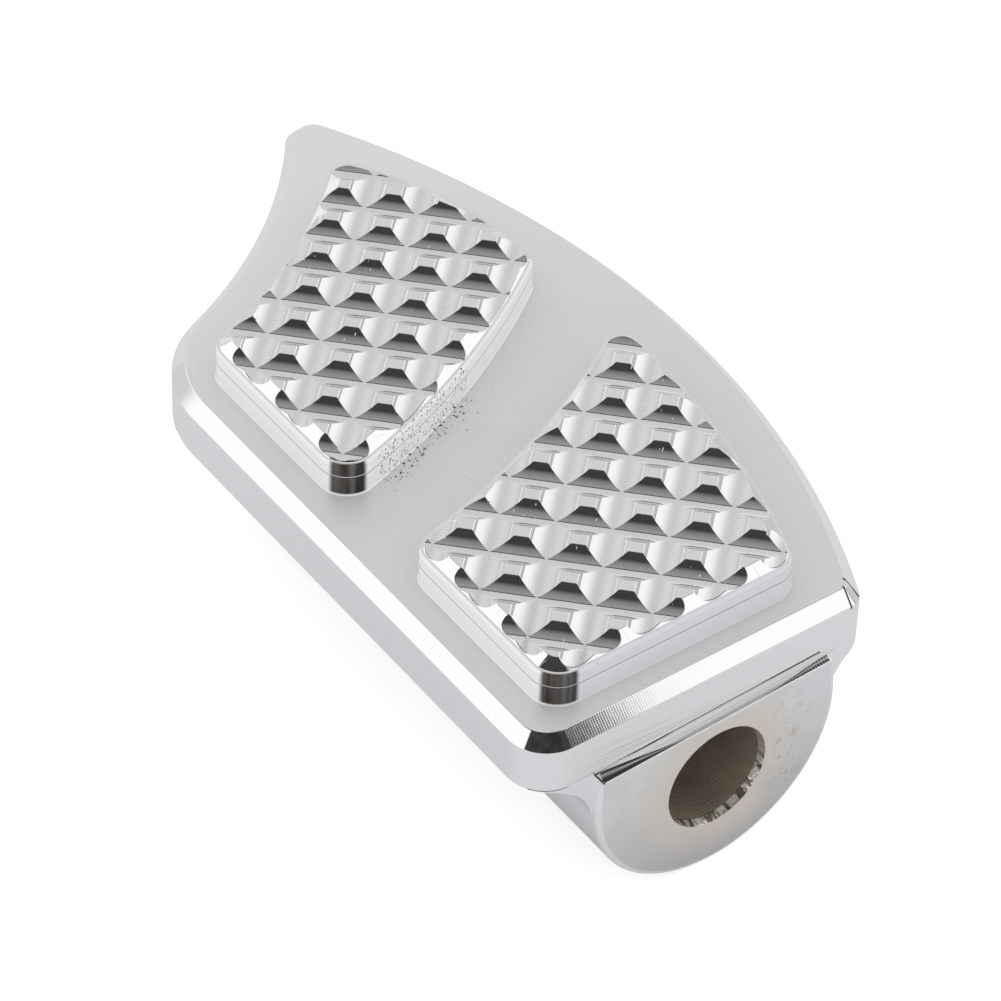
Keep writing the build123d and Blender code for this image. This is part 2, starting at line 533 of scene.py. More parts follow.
def inside_ring(points, ring):
    """True where a ray from the point crosses the ring an odd number of times."""
    x0, y0 = ring[:, 0], ring[:, 1]
    x1, y1 = np.roll(x0, -1), np.roll(y0, -1)
    px, py = points[:, 0, None], points[:, 1, None]
    spans = (y0 > py) != (y1 > py)
    cross = px < (x1 - x0) * (py - y0) / np.where(y1 == y0, 1e-12, y1 - y0) + x0
    return (spans & cross).sum(1) % 2 == 1


def hip_edges(lines, kept, first):
    """Pairs of lattice points along the pyramids' hips, where both cuts are equally far off."""
    number = np.where(kept, first + np.cumsum(kept) - 1, -1)
    number = number.reshape(len(lines[0]), len(lines[1]))
    middles = [folded((line[1:] + line[:-1]) / 2) for line in lines]
    u, v = np.meshgrid(*middles, indexing="ij")
    on_hip = np.abs(np.abs(u) - np.abs(v)) < 1e-6
    rising = u * v > 0
    start = np.where(rising, number[:-1, :-1], number[1:, :-1])[on_hip]
    end = np.where(rising, number[1:, 1:], number[:-1, 1:])[on_hip]
    whole = (start >= 0) & (end >= 0)
    return list(zip(start[whole].tolist(), end[whole].tolist()))


print("one pitch takes", len(lattice_lines(0, 0)) // 3, "lines")

# %% [markdown]
# ## Pads
#
# Each pad is made in three joined parts. The wall is a profile carried round the outline,
# with the faint step that two passes of the mill leave halfway up. The rim is a fine grid
# that follows the outline. Inside it the lattice joins the rim through a Delaunay fill.

# %% Sizes of a pad's wall
WALL_ROOT = 0.12
STEP_LEVEL = 12.0
RIM_EDGE = 0.16
WALL_CORNERS = [
    (-0.6, PLATE_TOP - 0.05, 0),
    (WALL_ROOT, PLATE_TOP - 0.05, 0),
    (0.03, PLATE_TOP + 0.1, 0.1),
    (0.03, STEP_LEVEL - 0.07, 0.02),
    (0.0, STEP_LEVEL, 0.02),
    (0.0, 12.74, 0.05),
    (-0.10, RIM_LEVEL, 0.03),
    (-RIM_EDGE, RIM_LEVEL, 0),
]
TOUCH_IN = 0.04
PAD_STEP = 0.07
RIM_RINGS = 22
RING_MARGIN = 0.05
FAR_IN = 9.0
print("wall", len(WALL_CORNERS), "corners")

# %% Top faces
def drawn_in(corners, share):
    """Values at the corners of faces, moved by a share of the way to each face's mean."""
    return corners + (corners.mean(1, keepdims=True) - corners) * share


def add_top(skin, points, faces, depth, inward):
    """Adds top faces: normals read a touch inside each corner, the kind in the face's middle."""
    ways = inward[faces].reshape(-1, 2)

    def read(share):
        spot = drawn_in(points[faces], share)[..., :2].reshape(-1, 2)
        return pad_surface(spot, drawn_in(depth[faces], share).reshape(-1), ways)

    _, normal, marks, _ = read(TOUCH_IN)
    kind = read(1.0)[3]
    skin.add(points, faces, normal.reshape(-1, 3, 3), marks.reshape(-1, 3, 2), kind.reshape(-1, 3))


def add_rim(skin, points, outwards):
    """The rim's grid: place = outline − outward × inset. Returns its innermost ring."""
    slope = np.linspace(RIM_LEDGE, RIM_WIDTH + RING_MARGIN, RIM_RINGS)
    inset = np.concatenate([[RIM_EDGE], slope])
    xy = points[:, None] - outwards[:, None] * inset[None, :, None]
    inward = np.broadcast_to(-outwards[:, None], xy.shape).reshape(-1, 2)
    depth = np.broadcast_to(inset, xy.shape[:2]).reshape(-1)
    height = pad_surface(xy.reshape(-1, 2), depth, inward)[0].reshape(xy.shape[:2])
    height[:, 0] = RIM_LEVEL
    rim = np.concatenate([xy, height[..., None]], axis=-1)
    add_top(skin, rim.reshape(-1, 3), grid_cells(*rim.shape[:2], True), depth, inward)
    return rim[:, -1]


# %% Pads
def pad_skin(name, stops):
    """Wall, rim and knurled top of one pad."""
    skin = Skin(name)
    points, outwards, run = outline(stops, PAD_STEP, tight=0.8)
    profile, profile_normals = rounded_profile(WALL_CORNERS, steps=3)
    place, normal, marks = swept(points, outwards, run, profile, profile_normals)
    skin.grid(place, normal, marks, WALL_KIND, closed=True)
    skin.cap(place[:, 0], (0, 0, -1), WALL_KIND)

    ring = add_rim(skin, points, outwards)
    across = (ring[:, :2] - CUT_NODE) @ ACROSS.T
    lines = [lattice_lines(across[:, k].min(), across[:, k].max()) for k in (0, 1)]
    grid = spread(lines[0][:, None], lines[1]).reshape(-1, 2) @ ACROSS + CUT_NODE
    kept = inside_ring(grid, ring[::4, :2] - outwards[::4] * RING_MARGIN)
    hips = hip_edges(lines, kept, len(ring))
    spots, faces = filled(np.concatenate([ring[:, :2], grid[kept]]), hips, list(range(len(ring))))
    far_in, still = np.full(len(spots), FAR_IN), np.zeros((len(spots), 2))
    height = pad_surface(spots, far_in, still)[0]
    add_top(skin, np.concatenate([spots, height[:, None]], axis=1), faces, far_in, still)
    return skin


pad_parts = [pad_skin("outer_pad", OUTER_PAD_STOPS), pad_skin("inner_pad", INNER_PAD_STOPS)]
print("pads", [part.count for part in pad_parts], "points before welding")

# %% [markdown]
# ## Lug
#
# The lug is a round bar that runs under the plate. A hollow web on each side carries it
# into the plate, and its nose stands 0.7 mm proud of the plate's end. A cylinder and two
# fillets would meet in visible seams, so all of it is one section drawn in the (y, z)
# plane and carried along x, cut off where the plate ends.

# %% Sizes of the lug
LUG_CENTRE = np.array([-0.1, 2.4])
LUG_RADIUS = 10.55
LUG_END = -52.0
FACE_LEAN = math.radians(1.6)
FACE_NORMAL = np.array([math.cos(FACE_LEAN), math.sin(FACE_LEAN), 0.0])
END_SETBACK = 0.7
BORE_RADIUS = 4.1
MOUTH_RADIUS = 4.3
MOUTH_DEPTH = 0.6
SECTION_STOPS = [
    (-15.194, 5.7, -4.6),
    (-10.611, 1.495, 10.55),
    (10.43, 1.756, -4.2),
    (14.6225, 5.7, 0),
]
TURN = np.arange(160) / 160 * 2 * math.pi
ROUND_THE_BORE = TURN * BORE_RADIUS
print("lug", 2 * LUG_RADIUS, "mm across, bore", 2 * BORE_RADIUS)

# %% Ends and drilled faces
def end_x(y, inset):
    """X of the leaning end at y, set back by inset: −inset/cos(lean) − y·tan(lean)."""
    return -inset / math.cos(FACE_LEAN) - math.tan(FACE_LEAN) * y


def plate_reach(y):
    """Least and greatest x of the plate's outline at each y, read off its points."""
    points = outline(PLATE_STOPS, 0.2)[0]
    points = points[np.argsort(points[:, 1])]
    left = points[points[:, 0] < -40.0]
    right = points[points[:, 0] > -4.0]
    low = np.interp(y, left[:, 1], left[:, 0])
    return np.maximum(low, LUG_END), np.interp(y, right[:, 1], right[:, 0])


def drilled(ring, hole):
    """Triangles between an outer ring and a round hole, both given in the flat."""
    first = len(ring)
    edges = [(first + k, first + (k + 1) % len(hole)) for k in range(len(hole))]
    flat, faces = filled(np.concatenate([ring, hole]), edges, list(range(first)))
    on_hole = np.hypot(*flat.T) < np.hypot(*hole.T).max() + 1e-6
    return flat, faces[~on_hole[faces].all(1)]


def circle(radius):
    """A ring about the bore's axis, anticlockwise seen from the face."""
    return radius * np.stack([np.cos(TURN), np.sin(TURN)], axis=1)


def with_x(x, yz):
    """Triples (x, y, z) from x and pairs (y, z) of shapes that fit each other."""
    return spread(x, yz[..., 0], yz[..., 1])


# %% Lug and webs
def lug_skin():
    """The lug's side, its two ends and the long part of its bore."""
    skin = Skin("lug")
    points, outwards, run = outline(SECTION_STOPS, 0.35, tight=0.7)
    low, high = plate_reach(points[:, 0])
    x = low[:, None] + (high - low)[:, None] * np.linspace(0, 1, 3)
    place, normal = with_x(x, points[:, None]), with_x(np.zeros_like(x), outwards[:, None])
    skin.grid(place, normal, spread(run[:, None], x), LUG_KIND, closed=True)

    hole = circle(BORE_RADIUS)
    flat, faces = drilled(points, hole)
    ends = (faces[:, ::-1], np.array([-1.0, 0.0, 0.0])), (faces, FACE_NORMAL)
    for reach, (turned, direction) in zip(plate_reach(flat[:, 0]), ends):
        skin.add(with_x(reach, flat), turned, direction, flat[turned], LUG_KIND)
    low, high = plate_reach(hole[:, 0])
    x = low[:, None] + (high - low)[:, None] * np.linspace(0, 1, 9)
    place = with_x(x, hole[:, None])[::-1]
    normal = with_x(np.zeros_like(x), -hole[:, None] / BORE_RADIUS)[::-1]
    skin.grid(place, normal, spread(ROUND_THE_BORE[:, None], x), BORE_KIND, closed=True)
    return skin


lug_parts = lug_skin()
print("lug", lug_parts.count, "points before welding")

# %% [markdown]
# ## Nose
#
# The nose is the part of the lug that meets the lever. Its outline is the lug's circle
# below a shoulder that slopes by two degrees. The round at its edge is 0.4 mm on the
# circle and much less along the shoulder. A Bevel modifier has one width for an edge, so
# the round is worked out instead, with a radius that changes along the edge.

# %% Shoulder line
SHOULDER_Z = 5.4
SHOULDER_TILT = math.radians(2.1)
SHOULDER_GRADE = math.tan(SHOULDER_TILT)
NOSE_ROUND = 0.42
SHOULDER_ROUND = 0.05
NOSE_BACK = END_SETBACK + 0.01


def shoulder_z(y):
    """Height of the shoulder's line: z = 5.4 + y·tan(tilt)."""
    return SHOULDER_Z + SHOULDER_GRADE * y


def shoulder_ends():
    """Where the shoulder's line leaves the lug's circle, from the formula for a quadratic."""
    a = 1 + SHOULDER_GRADE * SHOULDER_GRADE
    rise = SHOULDER_Z - LUG_CENTRE[1]
    b = -2 * LUG_CENTRE[0] + 2 * SHOULDER_GRADE * rise
    c = LUG_CENTRE[0] ** 2 + rise * rise - LUG_RADIUS**2
    root = math.sqrt(b * b - 4 * a * c)
    return [(y, shoulder_z(y)) for y in ((-b - root) / (2 * a), (-b + root) / (2 * a))]


print("shoulder from y", [round(y, 2) for y, _ in shoulder_ends()])

# %% Side and mouth of the nose
def add_nose_side(skin):
    """The side and its round: out = −r·(1 − cos t), back = −r·(1 − sin t), t to a quarter turn."""
    left, right = shoulder_ends()
    bottom = (LUG_CENTRE[0], LUG_CENTRE[1] - LUG_RADIUS)
    stops = [(*left, LUG_RADIUS), (*bottom, LUG_RADIUS), (*right, 0)]
    points, outwards, run = outline(stops, 0.3, tight=1.0)
    share = np.clip((shoulder_z(points[:, 0]) - points[:, 1]) / 1.2, 0, 1)
    radius = SHOULDER_ROUND + (NOSE_ROUND - SHOULDER_ROUND) * share * share * (3 - 2 * share)
    angle = np.linspace(0, math.pi / 2, 9)
    out = np.concatenate([[0.0], np.cos(angle) - 1])
    depth = np.concatenate([[0.0], np.sin(angle) - 1])
    ring = points[:, None] + outwards[:, None] * (radius[:, None] * out[None])[..., None]
    x = end_x(ring[..., 0], 0) + radius[:, None] * depth[None]
    x[:, 0] = end_x(ring[:, 0, 0], NOSE_BACK)
    tilt = np.concatenate([[0.0], angle])[None, :, None]
    sideways = with_x(np.zeros_like(x), outwards[:, None] * np.cos(tilt))
    place, normal = with_x(x, ring), sideways + FACE_NORMAL * np.sin(tilt)
    skin.grid(place, normal, spread(run[:, None], x), LUG_KIND, closed=True)
    return place


def add_mouth(skin):
    """The lead-in and the first of the bore; lift is how far a ring's normal leans outwards."""
    radii = np.array([MOUTH_RADIUS, BORE_RADIUS + 0.03, BORE_RADIUS, BORE_RADIUS])
    depths = np.array([0.0, MOUTH_DEPTH, MOUTH_DEPTH + 0.05, NOSE_BACK])
    lift = np.array([0.35, 0.3, 0.0, 0.0])
    unit = circle(1.0)
    ring = unit[:, None] * radii[None, :, None]
    x = end_x(ring[..., 0], 0) - depths[None]
    x[:, -1] = end_x(ring[:, -1, 0], NOSE_BACK)
    normal = with_x(lift, -unit[:, None] * np.sqrt(1 - lift**2)[None, :, None])
    kinds = np.array([MOUTH_KIND, MOUTH_KIND, BORE_KIND, BORE_KIND])[None]
    skin.grid(with_x(x, ring), normal, spread(ROUND_THE_BORE[:, None], x), kinds, closed=True)


# %% Nose
def nose_skin():
    """Side, rounded edge and drilled face of the nose, with the mouth of the bore."""
    skin = Skin("nose")
    side = add_nose_side(skin)
    ends = (-1, MOUTH_RADIUS, 0.0, 1), (0, BORE_RADIUS, NOSE_BACK, -1)
    for column, radius, back, way in ends:
        flat, faces = drilled(side[:, column, 1:], circle(radius))
        faces = faces[:, ::way]
        corners = with_x(end_x(flat[:, 0], back), flat)
        skin.add(corners, faces, FACE_NORMAL * way, flat[faces], FACE_KIND)
    add_mouth(skin)
    return skin


nose_parts = nose_skin()
print("nose", nose_parts.count, "points before welding")

# %% [markdown]
# ## Shoulder
#
# Where the nose leaves the plate's end the mill left a hollow root of 0.6 mm. It is tiny, but painted
# shade in a dark wedge and a fan of fine lines show in it, so it can't be left to a sharp corner. Its
# section is a quarter circle carried across the part, closed behind.

# %% Shoulder root
SHOULDER_ROOT = 0.6


def shoulder_skin():
    """A hollow quarter circle: centre above the shoulder by the radius, and before the end by it."""
    skin = Skin("shoulder")
    left, right = shoulder_ends()
    y = np.linspace(right[0] - 0.1, left[0] + 0.25, 80)
    angle = np.linspace(math.pi, 1.5 * math.pi, 15)
    x = end_x(y, END_SETBACK)[:, None] + SHOULDER_ROOT * (1 + np.cos(angle))[None]
    z = shoulder_z(y)[:, None] + SHOULDER_ROOT * (1 + np.sin(angle))[None]
    place = spread(x, y[:, None], z)
    normal = spread(-np.cos(angle), np.zeros_like(x), -np.sin(angle))
    skin.grid(place, normal, spread(y[:, None], angle[None]), ROOT_KIND)
    back = np.stack([end_x(y, END_SETBACK + 0.02), y, shoulder_z(y) - 0.02], axis=-1)
    down = np.broadcast_to(np.array([0.0, 0.0, -1.0]), (len(y), 2, 3))
    for pair in ((place[:, -1], back), (back, place[:, 0])):
        strip = np.stack(pair, axis=1)
        skin.grid(strip, down, strip[..., :2].copy(), LUG_KIND)
    for row, way in ((0, 1.0), (-1, -1.0)):
        fan = np.concatenate([place[row], back[row][None]])
        k = np.arange(len(fan) - 2)
        faces = np.stack([k, k + 1, np.full_like(k, len(fan) - 1)], axis=1)[:, :: int(way)]
        skin.add(fan, faces, np.array([0.0, way, 0.0]), fan[:, :2][faces], LUG_KIND)
    return skin


shoulder_parts = shoulder_skin()
print("shoulder", shoulder_parts.count, "points before welding")

# %% [markdown]
# ## Reckoning with nodes
#
# A shader is a formula worked out at every point of a surface, and Blender keeps it as a
# tree of nodes. Put together node by node, a tree hides what it reckons. Here a node's
# output adds and multiplies like a number, so the formulas below read as on paper.

# %% Wires
class Wire:
    """A node's output that can be reckoned with like a number; each step adds a math node."""

    def __init__(self, tree, socket):
        self.tree, self.socket = tree, socket

    def math(self, operation, *others):
        return self.tree.math(operation, self, *others)

    def __add__(self, other):
        return self.math("ADD", other)

    def __mul__(self, other):
        return self.math("MULTIPLY", other)

    def __sub__(self, other):
        return self.math("SUBTRACT", other)

    def __rsub__(self, other):
        return self.tree.math("SUBTRACT", other, self)

    def __truediv__(self, other):
        return self.math("DIVIDE", other)

    __radd__, __rmul__ = __add__, __mul__

    def held(self):
        """The same output, held between 0 and 1 by its own node."""
        self.socket.node.use_clamp = True
        return self

    def ease(self, low, high):
        """0 at low, 1 at high and held beyond them, smooth between."""
        inputs = {"Value": self, "From Min": low, "From Max": high}
        return self.tree.read("MapRange", "Result", inputs, interpolation_type="SMOOTHSTEP")

    def between(self, low, high, soft):
        """1 between low and high, and soft to both sides of each."""
        return self.ease(low - soft, low + soft) * self.ease(high + soft, high - soft)

    def wave(self, pitch):
        """sin(2π · value / pitch)."""
        return (self * (2 * math.pi / pitch)).math("SINE")

    def noise(self, scale, detail=3.0, rough=0.5):
        """A cloudy number about one half, read at this place."""
        inputs = {"Vector": self, "Scale": scale, "Detail": detail, "Roughness": rough}
        return self.tree.read("TexNoise", "Fac", inputs)

    def mix(self, first, second):
        """The first colour where this share is 0 and the second where it is 1."""
        node = self.tree.put("Mix", {"Factor": self}, data_type="RGBA")
        for name, colour in (("A", first), ("B", second)):
            self.tree.feed([s for s in node.inputs if s.name == name and s.type == "RGBA"][0], colour)
        return Wire(self.tree, [s for s in node.outputs if s.type == "RGBA"][0])

    def split(self):
        """The three parts of a vector."""
        return [Wire(self.tree, s) for s in self.tree.put("SeparateXYZ", {0: self}).outputs]


def joined(x, y, z=0.0):
    """A vector of three numbers, of which the first is a wire."""
    return x.tree.read("CombineXYZ", 0, {0: x, 1: y, 2: z})


def length(x, y):
    """√(x² + y²)."""
    return (x * x + y * y).math("SQRT")


# %% Trees
class Tree:
    """The nodes of a material or a world, with short calls that add one and wire it."""

    def __init__(self, owner):
        owner.use_nodes = True
        self.nodes, self.links = owner.node_tree.nodes, owner.node_tree.links

    def feed(self, socket, value):
        """Wires a socket or sets it; a colour of three shares is made opaque."""
        if isinstance(value, Wire):
            self.links.new(value.socket, socket)
        else:
            socket.default_value = value + (1,) if socket.type == "RGBA" else value

    def fill(self, node, inputs):
        for name, value in dict(inputs).items():
            self.feed(node.inputs[name], value)
        return node

    def put(self, kind, inputs, **settings):
        """A new node with its settings made and its inputs fed."""
        node = self.nodes.new("ShaderNode" + kind)
        for name, value in settings.items():
            setattr(node, name, value)
        return self.fill(node, inputs)

    def read(self, kind, output, inputs=(), **settings):
        """One output of a new node."""
        return Wire(self, self.put(kind, inputs, **settings).outputs[output])

    def math(self, operation, *values):
        return self.read("Math", 0, dict(enumerate(values)), operation=operation)


def new_material(name, recipe):
    """A material whose shader takes in what the recipe returns."""
    material = bpy.data.materials.new(name)
    tree = Tree(material)
    tree.fill(tree.nodes["Principled BSDF"], recipe(tree))
    print(name, len(tree.nodes), "nodes")
    return material


def bumped(tree, height):
    """Normals tilted by a height in millimetres."""
    return tree.read("Bump", "Normal", {"Strength": 1.0, "Distance": MM, "Height": height})


# %% Readings on the surface
class Surface:
    """What each point knows of itself: its kind, its marks and its place.

    along and over are the marks, x, y and z are millimetres in the room, and place is the
    same spot in metres, where noise is read.
    """

    def __init__(self, tree):
        self.kind = tree.read("Attribute", "Fac", attribute_name="kind")
        self.along, self.over, _ = tree.read("UVMap", "UV", uv_map="marks").split()
        self.place = tree.read("TexCoord", "Object")
        self.x, self.y, self.z = (part / MM for part in self.place.split())

    def on(self, kind):
        """1 on surfaces of this kind, 0 on all others."""
        return self.kind.math("COMPARE", kind, 0.25)

    def away(self, x, y):
        """Millimetres in plan from an upright line."""
        return length(self.x - x, self.y - y)


print("kinds from", PLATE_KIND, "to", ROOT_KIND, "can be asked for")

# %% [markdown]
# ## Tool marks
#
# What tells chrome from a plain mirror ball is the tool that was there before the plating:
# scallops a sixth of a millimetre apart in every cut, a crossed mesh on the bevel, level
# lines on the pads' walls. As faces they would take millions, so they are bump. Each wave
# runs along a surface's own marks, so it turns with the surface as the cutter did.

# %% Tool marks
FEED_PITCH = 0.17


def mark_height(at):
    """Height of the marks in millimetres: each kind's waves, and a fine grain over all."""
    from_middle = at.over.math("WRAP", CUT_PITCH / 2, -CUT_PITCH / 2).math("ABSOLUTE")
    scallops = at.along.wave(FEED_PITCH) * (from_middle.ease(1.3, 0.2) * 0.0003)
    height = at.on(GROOVE_KIND) * scallops
    height += at.on(BEVEL_KIND) * ((at.along.wave(0.2) + at.over.wave(0.18)) * 0.00009)
    height += at.on(WALL_KIND) * (at.over.wave(0.21) * 0.0002)
    height += at.on(RIM_KIND) * (at.along.wave(0.2) * 0.0004)
    height += at.on(MOUTH_KIND) * (at.place.noise(2600.0, 2.0) * 0.06)
    return height + at.place.noise(900.0, 4.0, 0.6) * 0.0008


print("scallops", FEED_PITCH, "mm apart")

# %% [markdown]
# ## Deck and end face
#
# The deck between the pads and the bored end are satin, in soft clouds of two greys, with painted light
# that makes the deck paler towards its far end and painted shade that darkens the end face towards the
# floor. The deck also has the faint arcs of a face mill. A picture drawn as a texture would need a flat
# layout, but noise and distance in the room need none.

# %% Deck and end face
MILL_CENTRE = (-26.0, -2.0)


def deck_colour_and_painted_light(at, cloud):
    """Clouds of two greys, with painted light paler to the far end, under arcs round the face mill's
    centre.
    """
    colour = cloud.mix((0.645, 0.655, 0.65), (0.69, 0.70, 0.70))
    # painted light: the deck grows paler towards the far end
    colour = at.x.ease(-28.0, -62.0).mix(colour, (0.735, 0.74, 0.74))
    arcs = at.away(*MILL_CENTRE).wave(0.42) * cloud.ease(0.45, 0.62)
    return ((arcs + 1.0) * 0.035).mix(colour, (0.35, 0.34, 0.33))


def soiled(at):
    """Share of dirt left beside the bore: specks, and a faint cloud, within a patch of the face."""
    patch = at.y.between(5.0, 7.6, 1.3) * at.z.between(-5.0, 4.6, 1.8)
    specks = (at.place.noise(3600.0, 2.0) - (0.74 - patch * 0.13)).ease(0.0, 0.05)
    haze = at.place.noise(900.0, 3.0).ease(0.5, 0.66) * (patch * 0.22)
    return (specks * 0.5 + haze).held()


def face_colour_and_painted_shade(at, cloud):
    """Clouds, with painted shade darker towards the floor, a brown halo round the bore and dirt beside
    it.
    """
    colour = cloud.ease(0.3, 0.7).mix((0.66, 0.655, 0.64), (0.72, 0.735, 0.755))
    # painted shade: the face darkens towards the floor
    colour = at.z.ease(3.0, -9.0).mix(colour, (0.50, 0.50, 0.505))
    tree = at.place.tree
    from_bore = tree.read("VectorMath", "Value", {0: at.place}, operation="LENGTH") / MM
    halo = from_bore.ease(8.0, 4.3) * cloud.ease(0.1, 0.6)
    return soiled(at).mix(halo.mix(colour, (0.70, 0.635, 0.575)), (0.30, 0.265, 0.23))


print("face mill's centre", MILL_CENTRE)

# %% [markdown]
# ## Walls of the pads
#
# Each wall has a thin dark line where one pass of the mill met the next, and another under the rim. The
# two front corners carry a painted dark reflection in upright streaks, and painted shade greys the one
# wall that faces the bored end. Heights and angles are known, so all of it is worked out from the place
# and needs no image mask.

# %% Walls of the pads
WALL_TOP = 13.12
REFLECTION_CORNER_CENTRES = [(-31.023, -10.45), (-5.28, -10.45)]


def wall_colour_and_painted_shade(at):
    """Pale, with painted shade that greys it within 3.9 mm of the bored end, on the one wall that faces
    it.
    """
    return at.x.ease(-4.6, -3.9).mix((0.98, 0.985, 1.0), (0.76, 0.775, 0.80))


def stop_lines(at):
    """Share of the two dark lines, by height alone."""
    return at.z.between(11.90, 11.96, 0.02) * 0.8 + at.z.between(12.69, 12.73, 0.02) * 0.3


def painted_corner_reflection(at):
    """Share of painted dark reflection on the front corners, by the angle in degrees round each corner.
    """
    whole = 0.0
    for x, y in REFLECTION_CORNER_CENTRES:
        angle = (at.y - y).math("ARCTAN2", at.x - x).math("DEGREES")
        arc = angle.between(-66, 4, 6) - angle.between(-28, -18, 4) * 0.1
        whole = at.away(x, y).ease(2.6, 2.45) * arc + whole
    band = at.z.ease(10.32, 10.5) - at.z.between(11.96, 12.0, 0.02) * 0.8
    return (whole * band).held()


def reflection_streak_colour(upright):
    """Painted reflection, near black to brown, in streaks that stand upright because the place is
    squeezed in z.
    """
    return upright.noise(1.6, 2.0).ease(0.35, 0.75).mix((0.010, 0.009, 0.009), (0.10, 0.085, 0.075))


print("dark corners", len(REFLECTION_CORNER_CENTRES))

# %% [markdown]
# ## Painted shade and lines at the shoulder
#
# In the hollow root above the nose lies painted shade, a dark wedge at each end, and above it a fan of
# fine lines draws together towards the right. A line modelled as a curve would lie on the surface like a
# wire. So both are shares of dark: the painted shade goes by the angle round the root, the lines by the
# slope from the fan's point.

# %% Painted shade and lines at the shoulder
FAN_POINT = 12.5


def root_painted_shade(at):
    """Share of painted shade in the root: a dark wedge at each end and a soft trace between.

    along is y in millimetres and over the angle round the root, from half a turn to three
    quarters. down is 0 at the bottom of the root and 1 at its top, and depth is down over
    the height that the dark reaches there.
    """
    down = (1.5 * math.pi - at.over) / (math.pi / 2)
    left = ((-3.0 - at.along) / 7.2).held()
    right = at.along.ease(3.5, 10.0)
    depth = down / (left * 0.91 + right * 0.5 + 0.05)
    pale = depth.between(0.45, 0.8, 0.06) * 0.4 + depth.between(0.6, 0.66, 0.03)
    teeth = at.along.wave(0.24).ease(0.0, 0.6) * (right * 0.35)
    dark = (1.0 - (pale * 0.6 + teeth)) * depth.ease(1.06, 0.98)
    trace = down.ease(0.7, 0.0) * (0.42 - left * 0.42)
    fine = down.math("PINGPONG", 0.07).between(0.0, 0.014, 0.008) * 0.22
    return (dark.math("MAXIMUM", trace) + fine).held()


def end_lines(at):
    """Share of the fan: grain by height above the shoulder over distance to the fan's point."""
    fan = (at.z - shoulder_z(at.y)) / (FAN_POINT - at.y)
    grain = joined(fan * 170.0, at.y * 0.05).noise(1.0, 2.0).ease(0.5, 0.6)
    where = at.y.ease(-14.0, -8.0) * at.x.ease(-1.35, -1.15) * at.y.ease(11.2, 10.4)
    return grain * where * (fan.ease(0.16, 0.03) * 0.6)


print("the fan meets at y", FAN_POINT)

# %% [markdown]
# ## Wear
#
# The plating is pitted along the foot of the outer pad and scratched by the bored corner,
# and the sides of the pyramids have bright nicks. Single pits could be dented into the
# mesh, but they are finer than its faces. So a stroke in plan says where wear lies, and
# noise breaks it up.

# %% Wear
PITTED = ((-29.8, -7.6), (-33.4, 0.5))
SCARS = [((-2.8, 12.45), (-1.6, 12.85)), ((-2.2, 11.9), (-0.95, 11.85))]


def stroke(at, ends, half):
    """Share of a stroke in plan, full within 0.6 × half of its line and none beyond 1.4 × half.

    The nearest spot of the line lies (d · run) / (run · run) of the way along its run.
    """
    (ax, ay), (bx, by) = ends
    run_x, run_y = bx - ax, by - ay
    dx, dy = at.x - ax, at.y - ay
    way = ((dx * run_x + dy * run_y) / (run_x * run_x + run_y * run_y)).held()
    return length(dx - way * run_x, dy - way * run_y).ease(half * 1.4, half * 0.6)


def pits(at):
    """Share of pits in the plating: crowded along the foot of the outer pad, rare elsewhere."""
    crowd = stroke(at, PITTED, 1.5) + stroke(at, PITTED, 3.4) * 0.35
    return (at.place.noise(4600.0, 2.0) - (0.775 - crowd * 0.12)).ease(0.0, 0.02)


def scars(at):
    """Share of the two scratches by the bored corner, on the bevel and above."""
    both = stroke(at, SCARS[0], 0.09).math("MAXIMUM", stroke(at, SCARS[1], 0.07))
    return both * at.z.ease(9.0, 9.2)


def nicks(at):
    """Share of short upright scratches: stretched noise above a high mark, in some places only."""
    grain = joined(at.along * 7.0, at.over * 1.7).noise(1.0, 1.0).ease(0.73, 0.76)
    return grain * at.place.noise(120.0, 1.0).ease(0.5, 0.56)


print("scratches", len(SCARS))

# %% [markdown]
# ## Chrome
#
# Chrome mirrors nearly all the light with a faint cool tint. Dirt, satin and painted light and shade,
# such as the painted dark reflection on the walls' front corners, are laid over it one after the other,
# each with its share, and where one lies the surface is less of a mirror. One material does it all, so
# that no seam shows between two kinds.

# %% Chrome
CHROME = (0.925, 0.932, 0.945)
CORNER_BEVEL_DARK_CENTRE = (-1.27, -14.06)


